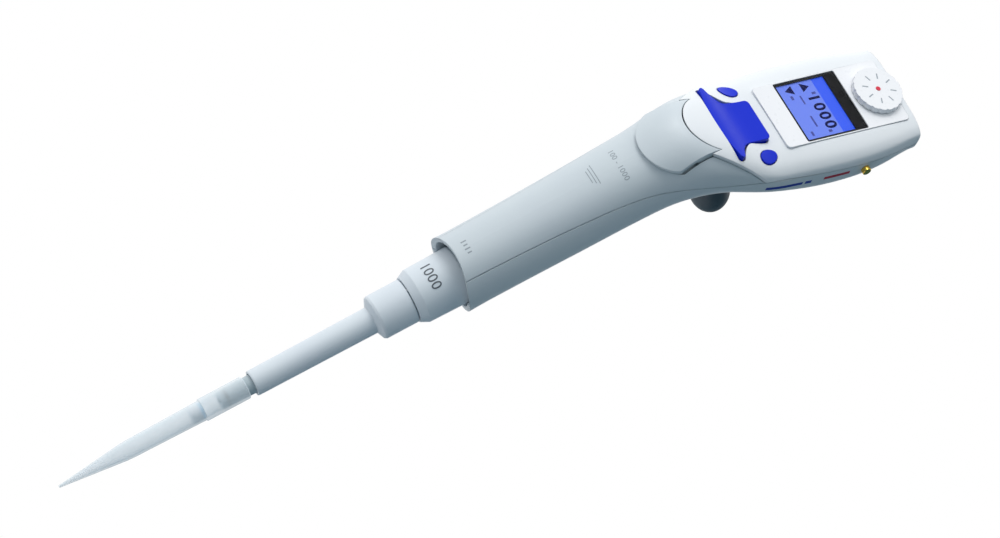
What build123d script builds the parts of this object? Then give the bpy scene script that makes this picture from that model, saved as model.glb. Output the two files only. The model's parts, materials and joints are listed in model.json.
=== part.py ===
from build123d import *
import math
import os

os.makedirs("parts", exist_ok=True)

# Electronic pipette with a fitted filter tip, in millimetres.
# +Z runs up the tube axis, -Y is the display side, +X is right seen from the display side.
# The origin is on the tube axis, level with the underside of the finger hook.

# ---- driving dimensions -------------------------------------------------------------
HEAD_TILT = 29.6            # lean of the head back from the tube axis, degrees
HEAD_CENTRE = (18.5, 51.0)  # centre of the display's front face, as (y, z)
WALL = 1.8                  # housing wall
PROUD = 1.5                 # how far hood and brow stand out of the handle
SEAM = 0.15                 # half of the gap between two housing pieces
RUN = 0.05                  # radial clearance of a running fit

TIP_END = -239.3            # orifice of the disposable tip
TIP_RIM = -168.25           # upper rim of the disposable tip
TIP_STEP = -184.6           # step below the tip's collar
TIP_COLLAR_R = 4.05
CONE_END = -178.3           # lower end of the tip cone
SLEEVE_END = -165.7         # lower end of the ejector sleeve
SLEEVE_TOP = -106.2
BARREL_LOW = -105.9
BARREL_TOP = -68.0
HANDLE_LOW = -89.8
HEAD_END = 32.6             # top end of the head, along it from the display's centre

PISTON_R = 4.0              # 8 mm piston
PISTON_STROKE = 20.0        # 1000 microlitres with an 8 mm piston
EJECT_TRAVEL = 6.0
HOOD_DEPTH = 0.95           # how deep the hood's crown sits below the handle's surface
CONE_TRAVEL = 2.0
HOOD_GAP = 0.5              # clearance behind the hood at full travel
HOOD_TAPER = 0.0875         # how fast the hood narrows going up, each side
KEY_PROUD = 0.35            # how far the soft keys stand out of the head
SCREW_R = 1.5
SCREW_PITCH = 2.0
MOTOR_R = 7.8
MOTOR_LOW = -35.0
MOTOR_TOP = -11.0
ROD_Y = -12.3               # upper ejector rod
PIN_Y = -7.3                # lower ejector pin

DIAL_B = 23.5
DIAL_R = 8.96
DIAL_TOP = 2.4
WINDOW = (24.6, 25.9)       # display window, width and length
PANEL = (25.6, 52.0)        # label panel, width and length
PANEL_B = 4.3               # middle of the label panel
BOARD_TOP = -7.2            # upper face of both circuit boards, below the display face
SOFTKEY = (14.1, -30.9)     # middle of a soft key, across and along the head
PLUNGERS = (-30.0, -43.2)   # plungers under the rocker, along the head
PIVOT = (-36.4, -1.5)       # rocker pivot along and above the head
JACK = (12.0, -4.5)         # power jack, across and above the head
CONTACT = (9.8, -9.5)       # charging contacts, along and above the head
HOOK_Z = 7.0                # height of the finger hook's axis
HOOK_R = 7.0

STATION_STEP = 9.0          # spacing of the housing's sections
SCREW_SPOTS = [(side * 16.8, along) for side in (-1, 1) for along in (-14.0, 18.0)]

tilt = math.radians(HEAD_TILT)
HEAD = Plane(
    origin=(0, HEAD_CENTRE[0], HEAD_CENTRE[1]),
    x_dir=(1, 0, 0),
    z_dir=(0, -math.cos(tilt), math.sin(tilt)),
)

# Housing sections from the handle's lower edge to the end of the head:
# front point (y, z), back point (y, z), half width, squareness of front and back halves,
# and how far the proud surface stands out there.
STATIONS = (
    ((-16.2, -93.0), (12.4, -93.0), 13.5, 2.15, 2.15, 0.0),
    ((-15.9, -84.0), (11.9, -84.0), 13.1, 2.15, 2.15, 0.0),
    ((-16.6, -50.0), (11.2, -50.0), 13.5, 2.15, 2.15, 0.0),
    ((-17.8, -15.0), (10.4, -15.0), 14.4, 2.20, 2.20, PROUD),
    ((-17.6, 0.0), (12.0, -5.0), 16.3, 2.30, 2.10, PROUD),
    ((-11.8, 9.5), (14.5, 3.0), 18.0, 2.60, 2.00, PROUD),
    ((-3.0, 18.5), (17.8, 9.5), 19.6, 3.00, 2.00, 0.8),
    ((3.7, 24.9), (20.5, 15.5), 21.1, 3.30, 2.00, 0.0),
    ((13.6, 42.3), (31.3, 32.1), 22.1, 3.60, 2.50, 0.0),
    ((24.4, 61.4), (40.6, 52.0), 21.7, 3.80, 2.90, 0.0),
    ((34.6, 79.4), (46.0, 72.5), 19.0, 3.90, 2.90, 0.0),
)


# ---- helpers ------------------------------------------------------------------------
def lathe(*profile):
    """Solid of revolution about +Z from (radius, height) corners."""
    outline = Polyline(*[(r, 0, z) for r, z in profile], close=True)
    return revolve(make_face(outline), Axis.Z)


def tube(outer, inner, low, high):
    return lathe((inner, low), (outer, low), (outer, high), (inner, high))


def rod(radius, low, high, x=0.0, y=0.0):
    return Pos(x, y, (low + high) / 2) * Cylinder(radius, high - low)


def block(x_range, y_range, z_range):
    """Box between three pairs of limits."""
    size = [high - low for low, high in (x_range, y_range, z_range)]
    middle = [(high + low) / 2 for low, high in (x_range, y_range, z_range)]
    return Pos(*middle) * Box(*size)


def plate(width, length, low, high, x=0.0, y=0.0, corner=1.0):
    """Rounded rectangular plate between two heights."""
    face = RectangleRounded(width, length, corner)
    return Pos(x, y, low) * extrude(face, high - low)


def cross_rod(radius, x_range, y, z):
    """Cylinder along X."""
    length = x_range[1] - x_range[0]
    middle = (x_range[0] + x_range[1]) / 2
    return Pos(middle, y, z) * Rot(0, 90, 0) * Cylinder(radius, length)


def superellipse(angle, power):
    """Point of a unit superellipse."""
    c = math.cos(angle)
    s = math.sin(angle)
    across = math.copysign(abs(c) ** (2 / power), c)
    along = math.copysign(abs(s) ** (2 / power), s)
    return across, along


def section(station, grow):
    """Closed housing section: wide superellipse through a front and a back point."""
    front, back, half_width, front_power, back_power, _ = station
    depth = math.hypot(back[0] - front[0], back[1] - front[1])
    away = ((back[0] - front[0]) / depth, (back[1] - front[1]) / depth)
    middle = ((front[0] + back[0]) / 2, (front[1] + back[1]) / 2)
    spans = 12
    halves = []
    for side in (1, -1):
        points = []
        for i in range(spans + 1):
            angle = math.pi * (i / spans - 0.5)
            power = back_power if angle > 0 else front_power
            across, along = superellipse(angle, power)
            reach = along * (depth / 2 + grow)
            points.append((
                side * abs(across) * (half_width + grow),
                middle[0] + away[0] * reach,
                middle[1] + away[1] * reach,
            ))
        places = [i / spans for i in range(spans + 1)]
        halves.append(Edge.make_spline(
            [Vector(*point) for point in points],
            tangents=[Vector(side, 0, 0), Vector(-side, 0, 0)],
            parameters=places,
        ))
    return Wire(halves)


def flat_station(station):
    front, back, *rest = station
    return [*front, *back, *rest]


def station_slopes(keys, places):
    """Change of every station value per millimetre along the housing."""
    slopes = []
    for i in range(len(keys)):
        before = max(i - 1, 0)
        after = min(i + 1, len(keys) - 1)
        run = places[after] - places[before]
        slopes.append([(b - a) / run for a, b in zip(keys[before], keys[after])])
    return slopes


def smooth_stations(step):
    """Stations about one step apart, on smooth curves through the key stations."""
    keys = [flat_station(station) for station in STATIONS]
    places = [0.0]
    for low, high in zip(keys, keys[1:]):
        front = math.dist(low[0:2], high[0:2])
        back = math.dist(low[2:4], high[2:4])
        places.append(places[-1] + (front + back) / 2)
    slopes = station_slopes(keys, places)
    result = []
    for i in range(len(keys) - 1):
        span = places[i + 1] - places[i]
        pieces = max(1, round(span / step))
        for piece in range(pieces):
            t = piece / pieces
            weights = (2 * t**3 - 3 * t**2 + 1, (t**3 - 2 * t**2 + t) * span,
                       3 * t**2 - 2 * t**3, (t**3 - t**2) * span)
            rows = zip(keys[i], slopes[i], keys[i + 1], slopes[i + 1])
            result.append([sum(w * v for w, v in zip(weights, row)) for row in rows])
    result.append(keys[-1])
    return [((v[0], v[1]), (v[2], v[3]), v[4], v[5], v[6], v[7]) for v in result]


def form(grow=0.0, proud=False):
    """Whole housing form, grown outward; its two ends move with the growth."""
    stations = smooth_stations(STATION_STEP)
    wires = []
    for number, station in enumerate(stations):
        extra = station[5] if proud else 0.0
        wire = section(station, grow + extra)
        if number == 0:
            wire = Pos(0, 0, -2 * abs(grow)) * wire
        if number == len(stations) - 1:
            wire = Pos(0, grow * math.sin(tilt), grow * math.cos(tilt)) * wire
        wires.append(wire)
    return Solid.make_loft(wires)


def parting(shift):
    """Everything in front of the surface that divides front and rear shells."""
    line = Spline(
        (0, -12.0 + shift, -100.0),
        (0, -11.9 + shift, -89.8),
        (0, -11.6 + shift, -39.0),
        (0, -8.6 + shift, -14.0),
        (0, 0.3 + shift, 5.0),
        (0, 4.2 + shift, 12.5),
        (0, 8.8 + shift, 21.5),
        (0, 24.4 + shift, 48.0),
        (0, 44.0 + shift, 82.5),
        (0, 49.4 + shift, 92.0),
    )
    rest = Polyline(
        (0, 49.4 + shift, 92.0),
        (0, -60, 92.0),
        (0, -60, -100.0),
        (0, -12.0 + shift, -100.0),
    )
    return extrude(make_face([line, rest]), 40, both=True)


def front_prism(edges, back=0.0):
    """Area drawn in the XZ plane, swept from the given depth towards the front."""
    return Pos(0, back, 0) * extrude(make_face(edges), 60.0 + back, dir=(0, -1, 0))


def below_brow(drop):
    """Everything below the lower edge of the head's front shell."""
    arc = ThreePointArc((-10.9, 0, 8.7 - drop), (0, 0, 1.8 - drop), (10.9, 0, 8.7 - drop))
    rest = Polyline(
        (10.9, 0, 8.7 - drop), (11.6, 0, 4.9 - drop), (30, 0, 34.4 - drop), (30, 0, -120),
        (-30, 0, -120), (-30, 0, 34.4 - drop), (-11.6, 0, 4.9 - drop), (-10.9, 0, 8.7 - drop),
    )
    return front_prism([arc, rest], back=30.0)


def hood_zone(rise, inset, reach=0.0):
    """Hood outline from the front: rise lifts its lower edge, inset narrows it, reach lifts its top."""
    low = 12.3 - HOOD_TAPER * rise - inset
    high = 10.9 - HOOD_TAPER * reach - inset
    corner = -7.6 + rise
    top = 8.4 + reach
    edge = ThreePointArc((-low, 0, corner), (0, 0, corner - 8.4), (low, 0, corner))
    crest = ThreePointArc((-high, 0, top), (0, 0, top - 6.9), (high, 0, top))
    left = Line((-low, 0, corner), (-high, 0, top))
    right = Line((low, 0, corner), (high, 0, top))
    return front_prism([edge, right, crest, left])


def rocker_face(grow):
    """Rocker outline on the head: a pad between two wings."""
    half = 8.2 + grow
    notch = 8.4 + grow
    tip = 14.2 + grow
    top = -27.0 + grow
    neck = -35.6
    wing = -43.2 + grow
    low = -45.6 - grow
    corner = 1.6 + grow
    edges = [
        Line((-half + corner, top), (half - corner, top)),
        ThreePointArc((half - corner, top), (half - 0.3 * corner, top - 0.3 * corner), (half, top - corner)),
        Line((half, top - corner), (notch, neck)),
        Spline((notch, neck), (notch + 1.0, -39.2 + grow), (tip, wing), tangents=((0, -1), (1, -0.45))),
        ThreePointArc((tip, wing), (tip + 0.7, (wing + low) / 2), (tip, low)),
        ThreePointArc((tip, low), (0, low - 2.2), (-tip, low)),
        ThreePointArc((-tip, low), (-tip - 0.7, (wing + low) / 2), (-tip, wing)),
        Spline((-tip, wing), (-notch - 1.0, -39.2 + grow), (-notch, neck), tangents=((1, 0.45), (0, 1))),
        Line((-notch, neck), (-half, top - corner)),
        ThreePointArc((-half, top - corner), (-half + 0.3 * corner, top - 0.3 * corner), (-half + corner, top)),
    ]
    return make_face(edges)


def softkey_face(side, grow):
    """Oval key outline beside the rocker."""
    return Pos(side * SOFTKEY[0], SOFTKEY[1]) * Rot(0, 0, side * 12) * Ellipse(2.45 + grow, 4.0 + grow)


def screw(head_r, shank_r, low, high, head):
    """Pan-head screw along +Z with its head at the lower end and a cross recess."""
    body = rod(shank_r, low + head, high) + rod(head_r, low, low + head)
    cross = Box(head_r * 1.2, 0.4, 1.0) + Box(0.4, head_r * 1.2, 1.0)
    return body - Pos(0, 0, low) * cross


def coil(radius, wire, low, high, turns):
    """Compression spring about +Z."""
    pitch = (high - low - 2 * wire) / turns
    path = Helix(pitch, high - low - 2 * wire, radius)
    start = Plane(origin=path @ 0, z_dir=path % 0)
    return Pos(0, 0, low + wire) * sweep(start * Circle(wire), path, is_frenet=True)


def group(solids):
    return Compound(children=list(solids))


# ---- tip, cone and sleeve -----------------------------------------------------------
def tip_body():
    outer = (
        (0.45, TIP_END), (0.85, -235.4), (1.75, -227.3), (3.1, -215.0), (3.27, -211.0),
        (3.63, TIP_STEP - 0.4), (TIP_COLLAR_R, TIP_STEP),
        (TIP_COLLAR_R, TIP_RIM - 0.3), (TIP_COLLAR_R - 0.3, TIP_RIM),
    )
    inner = (
        (3.30 + RUN, TIP_RIM), (3.14 + RUN, CONE_END), (3.0, CONE_END - 0.4),
        (3.0, TIP_STEP - 4.6), (2.72, -211.0), (2.5, -215.0), (1.2, -227.3),
        (0.45, -235.4), (0.22, TIP_END),
    )
    return lathe(*outer, *inner)


def tip_filter(low, high):
    return rod(2.98, low, high)


def tip_cone():
    """Nose that carries the tip, in one piece with the piston's cylinder."""
    bore = PISTON_R + RUN
    body = lathe(
        (1.1, CONE_END), (2.85, CONE_END), (3.14, CONE_END + 0.8), (3.30, TIP_RIM),
        (3.45, -164.0), (3.6, -120.3), (5.2, -116.7), (5.2, -98.0), (6.3, -98.0),
        (6.3, -96.4), (5.2, -96.4), (5.2, -88.0), (bore, -88.0), (bore, -117.1),
        (1.1, -118.7),
    )
    ring_groove = tube(3.5, 3.02, -176.2, -175.2)
    return body - ring_groove


def cone_ring():
    """Soft ring near the cone's end that seals against the tip."""
    return tube(3.16, 3.02, -176.2, -175.2)


def ejector_sleeve():
    return lathe(
        (3.72, SLEEVE_END), (4.4, SLEEVE_END), (4.55, SLEEVE_END + 0.5), (4.75, -120.3),
        (7.5, -119.0), (7.9, -118.2), (7.9, SLEEVE_TOP - 0.3), (7.7, SLEEVE_TOP),
        (6.55, SLEEVE_TOP), (6.55, -117.8), (4.25, -119.9), (4.0, -122.4), (3.72, -163.0),
    )


def lower_barrel():
    """Visible collar below the handle, with the neck that guides the sleeve."""
    body = lathe(
        (5.3, -117.0), (6.4, -117.0), (6.4, BARREL_LOW), (8.3, BARREL_LOW),
        (9.75, -103.0), (10.0, -87.0), (9.3, -85.5), (9.3, BARREL_TOP), (8.2, BARREL_TOP),
        (8.2, -98.1), (5.3, -98.1),
    )
    return body - rod(0.8, -107.0, -97.0, y=PIN_Y)


def barrel_cap():
    """Ring that closes the barrel and carries the cone spring and the guide rods."""
    ring = tube(8.15, 4.6, -72.0, -69.0) - rod(0.8, -73.0, -68.0, y=PIN_Y)
    for side in (-1, 1):
        ring -= rod(0.9, -73.0, -68.0, x=side * 6.2)
    return ring


def ejector_rod():
    """Bent steel rod from the hood's carriage down to the sleeve."""
    upper = rod(1.0, -57.0, -9.5, y=ROD_Y)
    step = block((-1.0, 1.0), (ROD_Y - 1.0, PIN_Y + 0.7), (-58.0, -56.4))
    lower = rod(0.7, SLEEVE_TOP, -57.0, y=PIN_Y)
    stop = rod(1.9, -27.0, -25.6, y=ROD_Y)
    return upper + step + lower + stop


def ejector_carriage():
    """Block behind the hood that the rod is pressed into."""
    body = block((-3.0, 3.0), (-14.4, -9.9), (-10.0, -1.0))
    arm = block((-2.4, 2.4), (-16.8, -14.4), (-3.4, -0.6))
    return body + arm - rod(1.0, -12.0, -4.0, y=ROD_Y)


def ejector_spring():
    return Pos(0, ROD_Y, 0) * coil(1.55, 0.25, -50.0, -27.0, 14)


def ejector_hood(outer, low_inner, high_inner):
    lip = (outer & hood_zone(0, 0)) - low_inner
    crown = (outer & hood_zone(7.5, 0)) - high_inner
    return lip + crown


# ---- drive ---------------------------------------------------------------------------
def piston():
    head = lathe((0, -115.0), (3.7, -115.0), (3.7, -113.6), (3.0, -113.6), (3.0, -112.0),
                 (3.7, -112.0), (3.7, -107.5), (1.8, -106.0), (1.8, -63.5), (0, -63.5))
    return head


def piston_seal():
    return tube(PISTON_R, 3.0, -113.6, -112.0)


def piston_carrier():
    """Crosshead that joins piston and lead screw and stops both from turning."""
    body = plate(16.4, 6.4, -64.5, -58.5, corner=2.6)
    body -= rod(1.8, -65.0, -63.5) + rod(SCREW_R - 0.3, -59.9, -58.0)
    for side in (-1, 1):
        body -= rod(0.9 + RUN, -66.0, -57.0, x=side * 6.2)
    return body


def lead_screw():
    """Screw whose crests run in the rotor's nut."""
    root = SCREW_R - 0.3
    low = -58.5
    high = -18.5
    profile = [(0, low - 1.4), (root, low - 1.4), (root, low)]
    turns = int((high - low) / SCREW_PITCH)
    for turn in range(turns):
        base = low + turn * SCREW_PITCH
        profile += [(root, base + 0.5), (SCREW_R, base + 0.8), (SCREW_R, base + 1.2), (root, base + 1.5)]
    profile += [(root, high), (root - 0.4, high + 0.5), (0, high + 0.5)]
    return lathe(*profile)


def rotor():
    """Hollow rotor with the drive nut at its lower end."""
    return lathe(
        (SCREW_R + RUN, -33.6), (2.9, -33.6), (2.9, -31.0), (4.3, -31.0), (4.3, -15.0),
        (2.9, -15.0), (2.9, -12.4), (2.0, -12.4), (2.0, -25.0), (SCREW_R + RUN, -25.0),
    )


def bearing(low):
    """Bush that the rotor's journal turns in."""
    return tube(4.8, 2.9 + RUN, low, low + 2.2)


def stator():
    """Two wound coils around the rotor."""
    return group([tube(7.2, 4.6, -30.4, -23.6), tube(7.2, 4.6, -22.4, -15.6)])


def motor_case():
    return lathe((7.3, MOTOR_LOW), (MOTOR_R, MOTOR_LOW), (MOTOR_R, MOTOR_TOP + 0.6),
                 (MOTOR_R - 0.6, MOTOR_TOP), (2.4, MOTOR_TOP), (2.4, -12.0), (7.3, -12.0))


def motor_bracket():
    """Plate under the motor that spans the handle, with a boss for the lower bearing."""
    body = plate(20.4, 12.0, -37.0, -35.0, corner=5.9)
    body -= rod(2.4, -38.0, -34.0)
    for side in (-1, 1):
        body -= rod(0.9, -38.0, -34.0, x=side * 6.2)
        body -= rod(0.95, -38.0, -34.0, y=side * 4.6)
    return body


def guide_rods():
    return group(rod(0.9, -72.0, -35.0, x=side * 6.2) for side in (-1, 1))


def motor_screws():
    pieces = [Pos(0, side * 4.6, 0) * screw(1.2, 0.9, -38.2, -33.6, 1.2) for side in (-1, 1)]
    return group(pieces)


def motor_flange():
    """End plate of the motor, under its case."""
    body = tube(7.25, 4.85, MOTOR_LOW, -31.2)
    for side in (-1, 1):
        body -= rod(0.9, -36.0, -33.6, y=side * 4.6)
    return body


# ---- housing -------------------------------------------------------------------------
def arch_cut():
    """Trims the handle's foot level, with a low arch at the front."""
    flat = block((-30, 30), (-40, 40), (-110, HANDLE_LOW))
    arc = ThreePointArc((-13.2, 0, HANDLE_LOW), (0, 0, HANDLE_LOW + 2.6), (13.2, 0, HANDLE_LOW))
    base = Polyline((13.2, 0, HANDLE_LOW), (13.2, 0, -100), (-13.2, 0, -100), (-13.2, 0, HANDLE_LOW))
    return flat + front_prism([arc, base])


def rod_guide():
    """Shelf inside the front shell that the ejector spring stands on."""
    shelf = block((-2.6, 2.6), (-16.0, ROD_Y + 2.2), (-52.0, -50.0))
    return shelf - rod(1.0 + RUN, -53.0, -49.0, y=ROD_Y)


def head_bosses(low, high):
    """Four posts near the head's corners."""
    return [HEAD * rod(2.5, low, high, x=x, y=y) for x, y in SCREW_SPOTS]


def head_screws():
    return group(HEAD * (Pos(x, y, 0) * screw(1.8, 0.9, -13.2, -4.0, 1.4)) for x, y in SCREW_SPOTS)


def screw_holes():
    return [HEAD * (rod(0.9, -12.0, -4.0, x=x, y=y) + rod(1.85, -24.0, -11.8, x=x, y=y))
            for x, y in SCREW_SPOTS]


def battery_zone(gap):
    return HEAD * block((-12.3 + gap, 12.3 - gap), (-22 + gap, 45), (-40, -10.6 - gap))


def finger_hook():
    """Rounded peg behind the neck that rests on the index finger."""
    stem = Polyline((0, 13.0, 0), (5.2, 13.0, 0), (5.0, 22.0, 0))
    swell = Spline((5.0, 22.0, 0), (HOOK_R, 36.5, 0), (4.6, 43.5, 0), (0, 45.3, 0),
                   tangents=((0, 1), (-1, 0)))
    close = Line((0, 45.3, 0), (0, 13.0, 0))
    return Pos(0, 0, HOOK_Z) * revolve(make_face([stem, swell, close]), Axis.Y)


def housing():
    """Front and rear shells, the hood and the battery cover."""
    outer = form()
    hollow = form(-WALL)
    proud_outer = form(proud=True)
    proud_hollow = form(-WALL, proud=True)
    skin = outer - hollow - arch_cut()
    front = parting(-SEAM)
    handle_front = (skin & front) & below_brow(SEAM)
    floor = Pos(0, 0, -EJECT_TRAVEL) * form(-HOOD_DEPTH - HOOD_GAP)
    under = Pos(0, 0, -EJECT_TRAVEL) * form(-HOOD_DEPTH - HOOD_GAP - 1.6)
    pocket = hood_zone(1.0, -0.5, 2.2) - floor
    deck = (floor & hood_zone(-1.0, -2.6) & front) - under
    slot = block((-3.4, 3.4), (-30, -8), (-10.0, 0.2))
    handle_front = handle_front + deck - pocket - slot + rod_guide()

    rear = skin - parting(SEAM)
    for post in head_bosses(-24.0, -8.4):
        rear += post & outer
    rear -= battery_zone(0.0)
    for hole in screw_holes():
        rear -= hole
    hook = finger_hook()
    rear -= Pos(0, 0, HOOK_Z) * Rot(90, 0, 0) * Cylinder(5.3, 60)
    cover = skin & battery_zone(0.2)
    for along in range(5):
        cover -= HEAD * cross_rod(0.5, (-6, 6), 18.0 + 2.4 * along, -17.3 + 0.3 * along)

    bezel = (proud_outer - proud_hollow - below_brow(-SEAM)) & front
    for post in head_bosses(-8.2, -1.0):
        bezel += post & proud_outer
    for hole in screw_holes():
        bezel -= hole
    bezel -= HEAD * extrude(rocker_face(0.5), 30, both=True)
    for side in (-1, 1):
        bezel -= HEAD * extrude(softkey_face(side, 0.25), 12, both=True)
        ear = block((side * 10.8 - 1.0, side * 10.8 + 1.0), (PIVOT[0] - 1.2, PIVOT[0] + 1.4), (-3.0, 1.3))
        bezel += HEAD * (ear - cross_rod(0.8, (-14, 14), *PIVOT))
    bezel -= HEAD * plate(PANEL[0] + 0.3, PANEL[1] + 0.3, -0.9, 6.0, y=PANEL_B, corner=1.6)
    bezel -= HEAD * plate(WINDOW[0] - 0.4, WINDOW[1] - 0.4, -6.0, 6.0, corner=0.8)
    bezel -= HEAD * rod(3.0, -6.0, 6.0, y=DIAL_B)
    jack_hole = HEAD * (Pos(JACK[0], 28, JACK[1]) * Rot(90, 0, 0) * Cylinder(2.7, 14))
    bezel -= jack_hole

    key_skin = form(KEY_PROUD, proud=True)
    key_room = form(-WALL - 0.35, proud=True)
    hood = ejector_hood(proud_outer, form(0.3), form(-HOOD_DEPTH))
    rear -= HEAD * cross_rod(1.45, (-30, 30), *CONTACT)
    rear -= jack_hole
    return {
        "handle_front_shell": handle_front,
        "rear_shell": rear,
        "head_front_shell": bezel,
        "ejector_hood": hood,
        "battery_cover": cover,
        "finger_hook": hook,
        "softkey_left": softkey(-1, key_skin, key_room),
        "softkey_right": softkey(1, key_skin, key_room),
    }


# ---- head ----------------------------------------------------------------------------
def label_panel():
    body = plate(PANEL[0], PANEL[1], -0.85, 0.0, y=PANEL_B, corner=1.5)
    body -= plate(WINDOW[0] + 0.2, WINDOW[1] + 0.2, -2, 2, corner=0.7)
    return body - rod(2.8, -2, 2, y=DIAL_B)


def display_bezel():
    """Black frame printed around the display, a moulded ring here."""
    body = plate(WINDOW[0], WINDOW[1], -0.8, -0.35, corner=0.6)
    return body - block((-11.5, 11.5), (-12.1, 8.2), (-2, 2))


def display_window():
    return plate(WINDOW[0], WINDOW[1], -0.35, 0.05, corner=0.6)


def lcd_panel():
    return plate(23.4, 22.4, -2.0, -0.85, y=-1.5, corner=0.3)


def backlight():
    return plate(23.4, 22.4, -4.4, -2.05, y=-1.5, corner=0.3)


def selection_dial():
    """Round dial with a scalloped rim and a shaft to the encoder."""
    body = rod(DIAL_R, 0.3, DIAL_TOP, y=DIAL_B)
    count = 20
    for i in range(count):
        angle = 2 * math.pi * (i + 0.5) / count
        x = (DIAL_R + 0.65) * math.cos(angle)
        y = (DIAL_R + 0.65) * math.sin(angle)
        body -= rod(0.9, 0.2, 4.0, x=x, y=DIAL_B + y)
    body += rod(2.5, -5.8, 0.4, y=DIAL_B)
    return body - rod(0.85, DIAL_TOP - 0.4, 4.0, y=DIAL_B)


def encoder():
    body = plate(12.0, 12.0, BOARD_TOP, -3.6, y=DIAL_B, corner=0.6)
    return body - rod(2.5 + RUN, -6.4, 0, y=DIAL_B)


def rocker():
    """Two-way rocker: flat pad that rises into a lip between its wings."""
    side_view = [
        Line((0, -25.0, -2.0), (0, -25.0, 1.2)),
        Spline((0, -25.0, 1.2), (0, -32.0, 1.4), (0, -38.0, 2.2), (0, -43.0, 4.3), (0, -49.5, 5.2)),
        Polyline((0, -49.5, 5.2), (0, -49.5, -2.0), (0, -25.0, -2.0)),
    ]
    wedge = extrude(make_face(side_view), 20, both=True)
    body = extrude(rocker_face(0.0), 20, both=True) & wedge
    body -= cross_rod(0.8 + RUN, (-20, 20), *PIVOT)
    for along in PLUNGERS:
        body += rod(1.2, -5.7, -1.6, y=along)
    return body


def softkey(side, skin, room):
    """Soft key with flange and stem: its top follows the skin, its flange stays in the room."""
    cap = HEAD * (Pos(0, 0, -3.0) * extrude(softkey_face(side, 0.0), 4.0))
    flange = HEAD * (Pos(0, 0, -3.0) * extrude(softkey_face(side, 0.6), 0.7))
    stem = HEAD * rod(1.0, -5.6, -2.0, x=side * SOFTKEY[0], y=SOFTKEY[1])
    return (cap & skin) + (flange & room) + stem


def key_domes():
    spots = [(side * SOFTKEY[0], SOFTKEY[1]) for side in (-1, 1)]
    spots += [(0, along) for along in PLUNGERS]
    dome = lathe((0, BOARD_TOP), (1.9, BOARD_TOP), (1.5, BOARD_TOP + 0.45), (0, BOARD_TOP + 0.6))
    return group(Pos(x, y, 0) * dome for x, y in spots)


def board_parts():
    """Largest components on the back of the main board."""
    low = BOARD_TOP - 2.0
    high = BOARD_TOP - 1.0
    return group([
        plate(8.0, 8.0, low, high, x=-9.0, y=20.0, corner=0.2),
        plate(5.0, 6.0, low, high, x=9.5, y=20.0, corner=0.2),
        plate(9.0, 3.4, low, high, x=0.0, y=16.0, corner=0.2),
    ])


def head_pieces():
    jack = tube(2.6, 1.75, 22.0, HEAD_END - 0.2) + rod(2.6, 21.0, 22.0)
    return {
        "label_panel": label_panel(),
        "display_bezel": display_bezel(),
        "display_window": display_window(),
        "lcd_panel": lcd_panel(),
        "backlight": backlight(),
        "selection_dial": selection_dial(),
        "dial_marker": rod(0.85, DIAL_TOP - 0.4, DIAL_TOP + 0.15, y=DIAL_B),
        "dial_encoder": encoder(),
        "rocker_key": rocker(),
        "rocker_pin": cross_rod(0.8, (-11.8, 11.8), *PIVOT),
        "key_board": plate(30.0, 22.0, BOARD_TOP - 1.0, BOARD_TOP, y=-34.5, corner=1.5),
        "key_domes": key_domes(),
        "main_board": plate(28.0, 48.0, BOARD_TOP - 1.0, BOARD_TOP, y=1.5, corner=1.5),
        "board_parts": board_parts(),
        "power_jack": Pos(JACK[0], 0, JACK[1]) * Rot(-90, 0, 0) * jack,
        "battery": fillet(plate(22.0, 32.0, -15.8, -9.4, y=-4.5, corner=2.5).edges(), 0.6),
        "battery_terminals": group(plate(2.0, 3.0, -9.4, BOARD_TOP - 1.0, x=x, y=-17.0, corner=0.2)
                                   for x in (-6, 6)),
        "charging_contacts": group([
            Pos(0, CONTACT[0], CONTACT[1]) * Rot(0, side * 90, 0) * lathe(
                (0, 17.0), (2.6, 17.0), (2.6, 18.6), (1.4, 18.6), (1.4, 22.1), (1.6, 22.1),
                (1.6, 23.4), (1.4, 23.6), (0, 23.6))
            for side in (-1, 1)]),
    }


def lower_pieces():
    return {
        "tip_body": tip_body(),
        "filter_white": tip_filter(-189.1, -185.7),
        "filter_blue": tip_filter(-185.7, TIP_STEP),
        "tip_cone": tip_cone(),
        "cone_ring": cone_ring(),
        "cone_spring": coil(5.75, 0.4, -96.4, -72.0, 7),
        "ejector_sleeve": ejector_sleeve(),
        "lower_barrel": lower_barrel(),
        "barrel_cap": barrel_cap(),
        "ejector_rod": ejector_rod(),
        "ejector_carriage": ejector_carriage(),
        "ejector_spring": ejector_spring(),
    }


def drive_pieces():
    return {
        "piston": piston(),
        "piston_seal": piston_seal(),
        "piston_carrier": piston_carrier(),
        "lead_screw": lead_screw(),
        "rotor": rotor(),
        "lower_bearing": bearing(-33.4),
        "upper_bearing": bearing(-14.4),
        "stator_coils": stator(),
        "motor_case": motor_case(),
        "motor_flange": motor_flange(),
        "motor_bracket": motor_bracket(),
        "motor_screws": motor_screws(),
        "guide_rods": guide_rods(),
    }


def main():
    pieces = {}
    pieces.update(housing())
    pieces.update(lower_pieces())
    pieces.update(drive_pieces())
    for name, shape in head_pieces().items():
        pieces[name] = HEAD * shape
    pieces["head_screws"] = head_screws()
    for name, shape in pieces.items():
        export_step(shape, f"parts/{name}.step")


main()
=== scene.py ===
import json
import math

import bmesh
import bpy
from mathutils import Matrix, Vector
from mathutils.bvhtree import BVHTree


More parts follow.
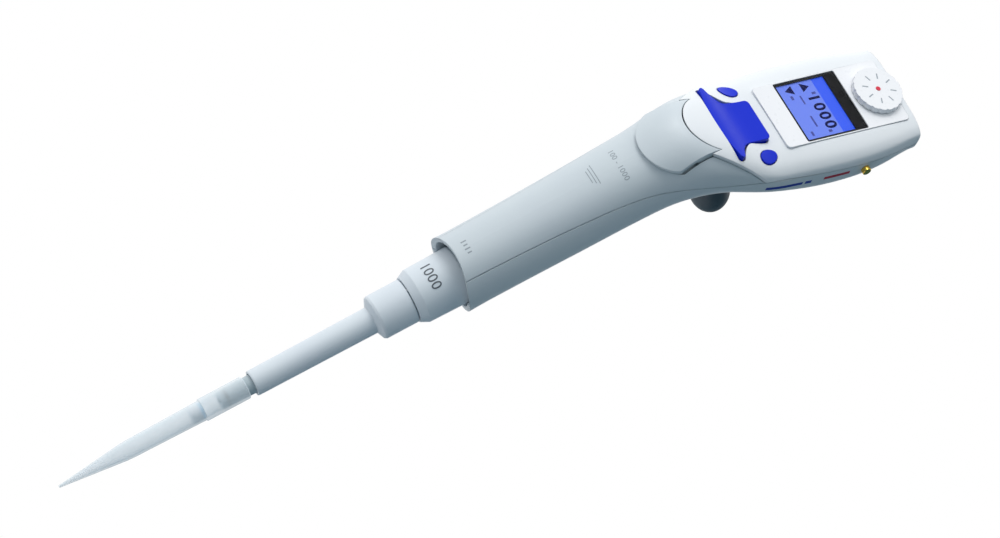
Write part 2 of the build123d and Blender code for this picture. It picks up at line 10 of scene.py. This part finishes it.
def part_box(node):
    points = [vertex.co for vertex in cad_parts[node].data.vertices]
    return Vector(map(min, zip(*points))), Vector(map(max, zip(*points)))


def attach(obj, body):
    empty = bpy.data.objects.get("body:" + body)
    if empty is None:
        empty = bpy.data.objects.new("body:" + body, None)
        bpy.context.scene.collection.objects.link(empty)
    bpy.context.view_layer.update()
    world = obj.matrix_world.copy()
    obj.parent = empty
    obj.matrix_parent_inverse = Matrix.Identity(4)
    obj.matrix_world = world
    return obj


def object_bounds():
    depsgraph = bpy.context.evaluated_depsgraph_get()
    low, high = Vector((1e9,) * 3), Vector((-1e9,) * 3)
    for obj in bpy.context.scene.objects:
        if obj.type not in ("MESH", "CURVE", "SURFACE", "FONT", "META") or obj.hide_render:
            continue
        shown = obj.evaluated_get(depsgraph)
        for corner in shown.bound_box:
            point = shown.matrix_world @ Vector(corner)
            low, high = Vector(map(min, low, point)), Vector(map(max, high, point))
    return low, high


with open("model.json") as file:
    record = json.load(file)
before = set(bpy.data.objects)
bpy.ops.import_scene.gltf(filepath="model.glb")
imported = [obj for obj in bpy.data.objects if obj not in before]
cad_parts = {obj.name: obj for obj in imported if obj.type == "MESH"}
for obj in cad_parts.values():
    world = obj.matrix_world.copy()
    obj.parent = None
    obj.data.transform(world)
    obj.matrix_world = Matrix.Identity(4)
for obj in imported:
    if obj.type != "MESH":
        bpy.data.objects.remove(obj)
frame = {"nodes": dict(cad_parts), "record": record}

# Looks of an electronic pipette with a fitted filter tip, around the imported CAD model.
# Metres, in the CAD frame: +Z up the tube axis, -Y the display side, +X right.

cad_low, cad_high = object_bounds()
nodes = frame["nodes"]
record = frame["record"]
joints = {joint["name"]: joint for joint in record["behaviour"]["joints"]}

MM = 0.001
INK = 0.04 * MM                 # thickness of a printed mark
SUNK = 0.02 * MM                # how far a printed mark reaches into what it is printed on

# ---- the head's plane ---------------------------------------------------------------
ACROSS = Vector((1, 0, 0))
OUT = Vector(joints["dial_turn"]["axis"]).normalized()
ALONG = Vector(joints["battery_cover_slide"]["axis"]).normalized()
WINDOW_MIDDLE = -0.15 * MM      # middle of the window's thickness, below the display's face
window_low, window_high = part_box("display_window")
display_centre = (window_low + window_high) / 2 - OUT * WINDOW_MIDDLE
dial_low, dial_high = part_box("selection_dial")


def head_point(across, along, out):
    """Point of the tilted head, measured in millimetres from the display's centre."""
    return display_centre + (ACROSS * across + ALONG * along + OUT * out) * MM


# ---- view ---------------------------------------------------------------------------
VIEW_RIGHT = Vector((0.488, 0.062, 0.8705)).normalized()
VIEW_UP = Vector((-0.774, -0.431, 0.465))
VIEW_TOWARD = VIEW_RIGHT.cross(VIEW_UP).normalized()
VIEW_WIDTH = 0.3333             # width of the picture at the object
VIEW_LENS = 900.0
SENSOR = 36.0
VIEW_REACH = 60.0               # furthest distance the camera draws
TARGET = Vector((0.0047, 0.0021, cad_low.z + 0.1655))


def make_camera():
    data = bpy.data.cameras.new("camera")
    data.lens = VIEW_LENS
    data.sensor_width = SENSOR
    data.clip_end = VIEW_REACH
    camera = bpy.data.objects.new("camera", data)
    bpy.context.collection.objects.link(camera)
    up = VIEW_TOWARD.cross(VIEW_RIGHT)
    turn = Matrix((VIEW_RIGHT, up, VIEW_TOWARD)).transposed().to_4x4()
    distance = VIEW_WIDTH * VIEW_LENS / SENSOR
    camera.matrix_world = Matrix.Translation(TARGET + VIEW_TOWARD * distance) @ turn
    bpy.context.scene.camera = camera


# ---- studio -------------------------------------------------------------------------
KEY_SIDE = VIEW_UP * 0.8 + OUT * 0.7
KEY_DISTANCE = 1.5
KEY_SIZE = 0.6
KEY_POWER = 8.0
KEY_COLOUR = (1.0, 0.99, 0.98)


def make_light(name, direction, distance, size, power, colour):
    """Soft square light that faces the middle of the object."""
    data = bpy.data.lights.new(name, "AREA")
    data.size = size
    data.energy = power
    data.color = colour
    light = bpy.data.objects.new(name, data)
    bpy.context.collection.objects.link(light)
    direction = direction.normalized()
    light.location = TARGET + direction * distance
    light.rotation_euler = direction.to_track_quat("Z", "Y").to_euler()


SHADE = (0.045, 0.12, 0.165)    # light from below and from in front of the object
SHADE_LEAN = 0.35               # how far the shaded side leans towards the viewer
SHADE_FULL = -0.22              # where the shade is full, and where it ends, along the lean
SHADE_END = 0.18


def make_world():
    """White backdrop; its light falls off to blue-grey below and in front of the object."""
    world = bpy.data.worlds.new("studio")
    world.use_nodes = True
    bpy.context.scene.world = world
    tree = world.node_tree
    ground = tree.nodes["Background"]
    place = tree.nodes.new("ShaderNodeTexCoord")
    height = tree.nodes.new("ShaderNodeVectorMath")
    height.operation = "DOT_PRODUCT"
    height.inputs[1].default_value = (VIEW_UP.normalized() - VIEW_TOWARD * SHADE_LEAN).normalized()
    level = tree.nodes.new("ShaderNodeMapRange")
    level.interpolation_type = "SMOOTHSTEP"
    level.inputs["From Min"].default_value = SHADE_FULL
    level.inputs["From Max"].default_value = SHADE_END
    mix = tree.nodes.new("ShaderNodeMix")
    mix.data_type = "RGBA"
    mix.inputs["A"].default_value = (*SHADE, 1)
    mix.inputs["B"].default_value = (1.0, 1.0, 1.0, 1)
    tree.links.new(place.outputs["Generated"], height.inputs[0])
    tree.links.new(height.outputs["Value"], level.inputs["Value"])
    seen = tree.nodes.new("ShaderNodeLightPath")
    white = tree.nodes.new("ShaderNodeMath")
    white.operation = "MAXIMUM"
    tree.links.new(level.outputs["Result"], white.inputs[0])
    tree.links.new(seen.outputs["Is Camera Ray"], white.inputs[1])
    tree.links.new(white.outputs["Value"], mix.inputs["Factor"])
    tree.links.new(mix.outputs["Result"], ground.inputs["Color"])
    ground.inputs["Strength"].default_value = 1.0


FLOOR_DROP = 1.30               # floor below the tip, clear of the low camera
FLOOR_HALF = 3.0


def make_floor():
    mesh = bpy.data.meshes.new("floor")
    corners = [(-FLOOR_HALF, -FLOOR_HALF, 0), (FLOOR_HALF, -FLOOR_HALF, 0),
               (FLOOR_HALF, FLOOR_HALF, 0), (-FLOOR_HALF, FLOOR_HALF, 0)]
    mesh.from_pydata(corners, [], [(0, 1, 2, 3)])
    floor = bpy.data.objects.new("floor", mesh)
    bpy.context.collection.objects.link(floor)
    floor.location = (0, 0, cad_low.z - FLOOR_DROP)
    floor.data.materials.append(surface("floor_paint", (0.66, 0.68, 0.70), 0.7, grain=40, depth=0.2))


# ---- materials ----------------------------------------------------------------------
def noise(tree, place, scale, detail=2.0):
    node = tree.nodes.new("ShaderNodeTexNoise")
    node.inputs["Scale"].default_value = scale
    node.inputs["Detail"].default_value = detail
    tree.links.new(place.outputs["Object"], node.inputs["Vector"])
    return node


def spread(tree, source, low, high):
    """Maps a noise value, which stays near a half, to a range."""
    node = tree.nodes.new("ShaderNodeMapRange")
    node.inputs["From Min"].default_value = 0.3
    node.inputs["From Max"].default_value = 0.7
    node.inputs["To Min"].default_value = low
    node.inputs["To Max"].default_value = high
    tree.links.new(source, node.inputs["Value"])
    return node.outputs["Result"]


def tinted(tree, source, colour, amount):
    """The colour, varied a little towards darker and cooler by a noise."""
    mix = tree.nodes.new("ShaderNodeMix")
    mix.data_type = "RGBA"
    darker = [c * (1 - amount) for c in colour]
    darker[2] = colour[2] * (1 - amount * 0.6)
    mix.inputs["A"].default_value = (*colour, 1)
    mix.inputs["B"].default_value = (*darker, 1)
    tree.links.new(source, mix.inputs["Factor"])
    return mix.outputs["Result"]


def surface(name, colour, roughness, metal=0.0, grain=2400.0, depth=0.012, tint=0.05,
            edge=0.0, shine=0.5, stretch=None):
    """Opaque material: fine grain, soft colour changes, uneven gloss and eased edges."""
    material = bpy.data.materials.new(name)
    material.use_nodes = True
    tree = material.node_tree
    shader = tree.nodes["Principled BSDF"]
    shader.inputs["Metallic"].default_value = metal
    shader.inputs["Specular IOR Level"].default_value = shine
    place = tree.nodes.new("ShaderNodeTexCoord")
    broad = noise(tree, place, 38.0, 3.0)
    middle = noise(tree, place, 520.0, 3.0)
    fine = noise(tree, place, grain)
    if stretch:
        brush = tree.nodes.new("ShaderNodeMapping")
        brush.inputs["Scale"].default_value = stretch
        tree.links.new(place.outputs["Object"], brush.inputs["Vector"])
        tree.links.new(brush.outputs["Vector"], fine.inputs["Vector"])
    level = spread(tree, broad.outputs["Fac"], 0.0, 1.0)
    tree.links.new(tinted(tree, level, colour, tint), shader.inputs["Base Color"])
    gloss = spread(tree, middle.outputs["Fac"], roughness * 0.88, min(1.0, roughness * 1.12))
    tree.links.new(gloss, shader.inputs["Roughness"])
    bump = tree.nodes.new("ShaderNodeBump")
    bump.inputs["Strength"].default_value = 0.5
    bump.inputs["Distance"].default_value = depth * MM
    tree.links.new(fine.outputs["Fac"], bump.inputs["Height"])
    if edge:
        ease = tree.nodes.new("ShaderNodeBevel")
        ease.inputs["Radius"].default_value = edge * MM
        tree.links.new(ease.outputs["Normal"], bump.inputs["Normal"])
    tree.links.new(bump.outputs["Normal"], shader.inputs["Normal"])
    return material


def clear(name, colour, roughness, centre, rim, painted_glow=0.0):
    """Thin clear plastic: nearly see-through face on, milky where it turns away. Its emission is a painted
    glow in its own colour, which lightens it as if light scattered inside, though it is no lamp.
    """
    material = surface(name, colour, roughness, grain=1500.0, depth=0.001, tint=0.03)
    tree = material.node_tree
    shader = tree.nodes["Principled BSDF"]
    facing = tree.nodes.new("ShaderNodeLayerWeight")
    facing.inputs["Blend"].default_value = 0.35
    cover = tree.nodes.new("ShaderNodeMapRange")
    cover.inputs["To Min"].default_value = centre
    cover.inputs["To Max"].default_value = rim
    tree.links.new(facing.outputs["Facing"], cover.inputs["Value"])
    tree.links.new(cover.outputs["Result"], shader.inputs["Alpha"])
    # Emission here is painted light: a glow in the plastic's own colour that lightens its shaded inner walls.
    shader.inputs["Emission Color"].default_value = (*colour, 1)
    shader.inputs["Emission Strength"].default_value = painted_glow
    return material


BAR_START = 3.2                 # where the display's bright bar begins, along the head
LCD_GLOW = 0.30


def display_material():
    """Backlit display: periwinkle field and a bright bar at the dial's side."""
    material = surface("lcd_blue", (0.20, 0.27, 0.86), 0.35, grain=5000.0, depth=0.001)
    tree = material.node_tree
    shader = tree.nodes["Principled BSDF"]
    place = tree.nodes.new("ShaderNodeTexCoord")
    height = tree.nodes.new("ShaderNodeVectorMath")
    height.operation = "DOT_PRODUCT"
    height.inputs[1].default_value = ALONG
    tree.links.new(place.outputs["Object"], height.inputs[0])
    start = display_centre.dot(ALONG) + BAR_START * MM
    step = tree.nodes.new("ShaderNodeMapRange")
    step.inputs["From Min"].default_value = start - 0.15 * MM
    step.inputs["From Max"].default_value = start + 0.15 * MM
    tree.links.new(height.outputs["Value"], step.inputs["Value"])
    mix = tree.nodes.new("ShaderNodeMix")
    mix.data_type = "RGBA"
    mix.inputs["A"].default_value = (0.13, 0.215, 0.82, 1)
    mix.inputs["B"].default_value = (0.012, 0.085, 0.84, 1)
    tree.links.new(step.outputs["Result"], mix.inputs["Factor"])
    tree.links.new(mix.outputs["Result"], shader.inputs["Base Color"])
    tree.links.new(mix.outputs["Result"], shader.inputs["Emission Color"])
    shader.inputs["Emission Strength"].default_value = LCD_GLOW
    return material


def make_materials():
    """One material for each of the record's slots."""
    brushed = (1, 1, 12)
    return {
        "housing_grey": surface("housing_grey", (0.60, 0.67, 0.71), 0.42, edge=0.35, tint=0.04),
        "housing_white": surface("housing_white", (0.78, 0.82, 0.85), 0.34, edge=0.5, tint=0.03),
        "hook_slate": surface("hook_slate", (0.055, 0.078, 0.095), 0.50, edge=0.5),
        "shaft_grey": surface("shaft_grey", (0.72, 0.79, 0.84), 0.40, edge=0.3),
        "cone_grey": surface("cone_grey", (0.46, 0.55, 0.59), 0.38, edge=0.2),
        "steel": surface("steel", (0.60, 0.61, 0.63), 0.28, metal=1.0, stretch=brushed, edge=0.15),
        "bronze": surface("bronze", (0.55, 0.36, 0.16), 0.45, metal=1.0, grain=1800.0, depth=0.02),
        "copper": surface("copper", (0.72, 0.30, 0.14), 0.35, metal=1.0, stretch=(1, 1, 6), depth=0.03),
        "black_plastic": surface("black_plastic", (0.008, 0.009, 0.010), 0.30, edge=0.15, shine=0.3),
        "panel_white": surface("panel_white", (0.85, 0.87, 0.90), 0.30, edge=0.25, tint=0.02),
        "window_clear": clear("window_clear", (0.02, 0.02, 0.03), 0.06, 0.03, 0.20),
        "lcd_blue": display_material(),
        "backlight_white": surface("backlight_white", (0.85, 0.85, 0.85), 0.6),
        "marker_red": surface("marker_red", (0.68, 0.010, 0.045), 0.30),
        "key_blue": surface("key_blue", (0.004, 0.026, 0.62), 0.32, edge=0.6, tint=0.10, shine=0.14),
        "board_green": surface("board_green", (0.02, 0.16, 0.06), 0.4, grain=900.0),
        "dome_steel": surface("dome_steel", (0.72, 0.72, 0.72), 0.2, metal=1.0),
        "jack_black": surface("jack_black", (0.015, 0.015, 0.017), 0.38, edge=0.2),
        "battery_grey": surface("battery_grey", (0.13, 0.15, 0.18), 0.45, edge=0.3),
        "contact_gold": surface("contact_gold", (0.86, 0.56, 0.10), 0.22, metal=1.0, edge=0.15),
        "spring_steel": surface("spring_steel", (0.45, 0.46, 0.48), 0.3, metal=1.0),
        # The tip's last value is a painted glow that lightens its shaded inner walls.
        "tip_clear": clear("tip_clear", (0.72, 0.79, 0.83), 0.24, 0.32, 0.85, 0.16),
        "filter_white": surface("filter_white", (0.92, 0.93, 0.94), 0.9, grain=3500.0, depth=0.06),
        "filter_blue": surface("filter_blue", (0.40, 0.72, 0.92), 0.9, grain=3500.0, depth=0.06),
        "piston_white": surface("piston_white", (0.80, 0.80, 0.78), 0.3),
        "seal_rubber": surface("seal_rubber", (0.16, 0.19, 0.21), 0.6),
    }


def paint_nodes(materials):
    for part in record["subparts"]:
        piece = nodes[part["node"]]
        for place in piece.material_slots:
            place.material = materials[part["material_slot"]]


# ---- printed marks ------------------------------------------------------------------
def flat_text(words, height, spacing=1.0, weight=0.0):
    """Digits as flat faces in millimetres, centred on the origin."""
    curve = bpy.data.curves.new("digits", "FONT")
    curve.body = words
    curve.size = height / 0.69
    curve.space_character = spacing
    curve.align_x = "CENTER"
    curve.align_y = "CENTER"
    curve.resolution_u = 4
    curve.offset = weight
    holder = bpy.data.objects.new("digits", curve)
    bpy.context.collection.objects.link(holder)
    depsgraph = bpy.context.evaluated_depsgraph_get()
    mesh = bpy.data.meshes.new_from_object(holder.evaluated_get(depsgraph))
    shape = bmesh.new()
    shape.from_mesh(mesh)
    bpy.data.objects.remove(holder)
    bpy.data.curves.remove(curve)
    bpy.data.meshes.remove(mesh)
    bmesh.ops.remove_doubles(shape, verts=shape.verts, dist=1e-4)
    return shape


def polygon(shape, points):
    shape.faces.new([shape.verts.new((u, v, 0)) for u, v in points])


def bar(shape, u, v, width, height):
    """Rectangle around a middle point."""
    half_u = width / 2
    half_v = height / 2
    polygon(shape, [(u - half_u, v - half_v), (u + half_u, v - half_v),
                    (u + half_u, v + half_v), (u - half_u, v + half_v)])


def divide(shape, step, axis):
    """Cuts the faces across one axis so that they can follow a curved surface."""
    values = [vertex.co[axis] for vertex in shape.verts]
    low = math.floor(min(values) / step)
    high = math.ceil(max(values) / step)
    normal = Vector((0, 0, 0))
    normal[axis] = 1
    for i in range(low + 1, high):
        geometry = shape.verts[:] + shape.edges[:] + shape.faces[:]
        bmesh.ops.bisect_plane(shape, geom=geometry, plane_co=normal * (i * step), plane_no=normal)


def printed(name, shape, place, body, material):
    """Thin closed solid of ink; place(u, v, rise) gives a point above the surface."""
    flat = shape.faces[:]
    bmesh.ops.recalc_face_normals(shape, faces=flat)
    bmesh.ops.solidify(shape, geom=flat, thickness=1.0)
    lowest = min(vertex.co.z for vertex in shape.verts)
    for vertex in shape.verts:
        rise = INK if vertex.co.z > lowest + 0.5 else -SUNK
        vertex.co = place(vertex.co.x, vertex.co.y, rise)
    bmesh.ops.recalc_face_normals(shape, faces=shape.faces[:])
    mesh = bpy.data.meshes.new(name)
    shape.to_mesh(mesh)
    shape.free()
    mesh.materials.append(material)
    piece = bpy.data.objects.new(name, mesh)
    bpy.context.collection.objects.link(piece)
    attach(piece, body)
    return piece


def on_head(level):
    """Places marks on a face parallel to the display, at a level in millimetres."""
    return lambda u, v, rise: head_point(u, v, level + rise / MM)


def on_barrel(radius, height):
    """Wraps marks round the front of a cylinder about the tube axis."""
    def place(u, v, rise):
        angle = u * MM / radius
        reach = radius + rise
        return Vector((reach * math.sin(angle), -reach * math.cos(angle), height + v * MM))
    return place


def shell_tree(name):
    mesh = nodes[name].data
    points = [vertex.co for vertex in mesh.vertices]
    return BVHTree.FromPolygons(points, [tuple(face.vertices) for face in mesh.polygons])


REACH = 0.08                    # rays start this far out


def on_front(tree, height):
    """Projects marks onto the handle from the front."""
    def place(u, v, rise):
        start = Vector((u * MM, -REACH, height + v * MM))
        hit = tree.ray_cast(start, Vector((0, 1, 0)))[0]
        return hit - Vector((0, rise, 0))
    return place


def on_side(tree, level):
    """Projects marks onto the head's right side; u runs along the head."""
    def place(u, v, rise):
        start = head_point(REACH / MM, u, level + v)
        hit = tree.ray_cast(start, Vector((-1, 0, 0)))[0]
        return hit + Vector((rise, 0, 0))
    return place


LCD_FACE = -0.85                # display's upper face below the window's
DIGIT_HEIGHT = 4.3
DIGIT_SPACE = 1.22
DIGIT_WEIGHT = 0.16             # how much the digits' strokes are thickened
DIGIT_SHIFT = 1.5               # number's place right of the display's middle


def make_display_marks(navy, faint):
    number = flat_text("1000", DIGIT_HEIGHT, DIGIT_SPACE, DIGIT_WEIGHT)
    bmesh.ops.translate(number, verts=number.verts, vec=(DIGIT_SHIFT, 0, 0))
    printed("display_number", number, on_head(LCD_FACE), "root", navy)
    arrows = bmesh.new()
    polygon(arrows, [(-10.9, -2.3), (-7.3, -2.3), (-9.1, 1.0)])
    polygon(arrows, [(-9.0, -9.3), (-7.2, -6.0), (-10.8, -6.0)])
    printed("display_arrows", arrows, on_head(LCD_FACE), "root", navy)
    small = bmesh.new()
    for u, v, width, height in ((-6.0, -8.0, 1.6, 1.0), (-6.1, 1.2, 0.9, 1.6), (9.6, -1.4, 1.0, 1.4),
                                (9.2, -8.8, 1.8, 0.9), (4.6, -5.4, 4.6, 0.7), (-4.4, -4.6, 3.6, 0.6)):
        bar(small, u, v, width, height)
    printed("display_small_marks", small, on_head(LCD_FACE), "root", faint)


DIAL_FACE = 2.4                 # dial's top above the display's face
DIAL_MARKS = 8
MARK_RING = 5.2                 # radius of the marks' middles
MARK_LENGTH = 2.2
MARK_WIDTH = 0.44


def make_dial_marks(faint):
    """Short radial marks between the dial's middle and its rim."""
    centre = ((dial_low + dial_high) / 2 - display_centre).dot(ALONG) / MM
    marks = bmesh.new()
    for i in range(DIAL_MARKS):
        angle = 2 * math.pi * (i + 0.5) / DIAL_MARKS
        radial = Vector((math.cos(angle), math.sin(angle)))
        side = Vector((-radial.y, radial.x))
        middle = Vector((0, centre)) + radial * MARK_RING
        reach = radial * MARK_LENGTH / 2
        half = side * MARK_WIDTH / 2
        corners = [middle - reach - half, middle + reach - half, middle + reach + half, middle - reach + half]
        polygon(marks, [(corner.x, corner.y) for corner in corners])
    printed("dial_marks", marks, on_head(DIAL_FACE), "dial", faint)


SIZE_NUMBER_UP = 0.1423         # barrel's number above the tip's end
SIZE_NUMBER_IN = 0.10 * MM      # barrel's draft there, inside its widest radius
RANGE_HEIGHT = -0.0245          # handle's range above the stand hanger's level


def make_handle_marks(grey, faint):
    barrel_low, barrel_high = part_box("lower_barrel")
    radius = barrel_high.x
    number = flat_text("1000", 3.6, 1.05)
    divide(number, 0.6, 0)
    printed("barrel_number", number, on_barrel(radius - SIZE_NUMBER_IN, cad_low.z + SIZE_NUMBER_UP), "root",
            grey)
    tree = shell_tree("handle_front_shell")
    volumes = flat_text("100 - 1000", 1.9, 1.05)
    divide(volumes, 0.8, 0)
    printed("handle_range", volumes, on_front(tree, RANGE_HEIGHT), "root", faint)
    lines = bmesh.new()
    for i in range(3):
        bar(lines, -1.0, -33.0 - 1.1 * i, 8.0 - 1.5 * i, 0.28)
    for i in range(4):
        bar(lines, -2.4 + 1.5 * i, -82.6, 0.5, 2.0 - 0.5 * (i % 2))
    divide(lines, 0.8, 0)
    printed("handle_lines", lines, on_front(tree, 0.0), "root", faint)


def make_side_marks(blue, red):
    """Plain colour bars along the head's right side."""
    tree = shell_tree("rear_shell")
    long_bar = bmesh.new()
    bar(long_bar, -24.5, 0.2, 15.0, 1.3)
    bar(long_bar, -14.6, 0.2, 2.6, 1.3)
    divide(long_bar, 0.8, 0)
    printed("side_bar_blue", long_bar, on_side(tree, -9.6), "root", blue)
    short_bar = bmesh.new()
    bar(short_bar, -2.5, 0.2, 11.0, 1.3)
    divide(short_bar, 0.8, 0)
    printed("side_bar_red", short_bar, on_side(tree, -9.4), "root", red)


def make_marks():
    navy = surface("ink_navy", (0.004, 0.006, 0.09), 0.45, depth=0.002, shine=0.1)
    dusk = surface("ink_dusk", (0.05, 0.07, 0.40), 0.45, depth=0.002)
    grey = surface("ink_grey", (0.10, 0.12, 0.14), 0.5, depth=0.002)
    faint = surface("ink_faint", (0.30, 0.35, 0.39), 0.5, depth=0.002)
    blue = surface("ink_blue", (0.015, 0.035, 0.32), 0.4, depth=0.002)
    red = surface("ink_red", (0.42, 0.015, 0.035), 0.4, depth=0.002)
    make_display_marks(navy, dusk)
    make_dial_marks(faint)
    make_handle_marks(grey, faint)
    make_side_marks(blue, red)


# ---- the scene ----------------------------------------------------------------------
make_camera()
make_world()
make_light("key", KEY_SIDE, KEY_DISTANCE, KEY_SIZE, KEY_POWER, KEY_COLOUR)
make_floor()
paint_nodes(make_materials())
make_marks()

bpy.context.scene.view_settings.view_transform = "Standard"
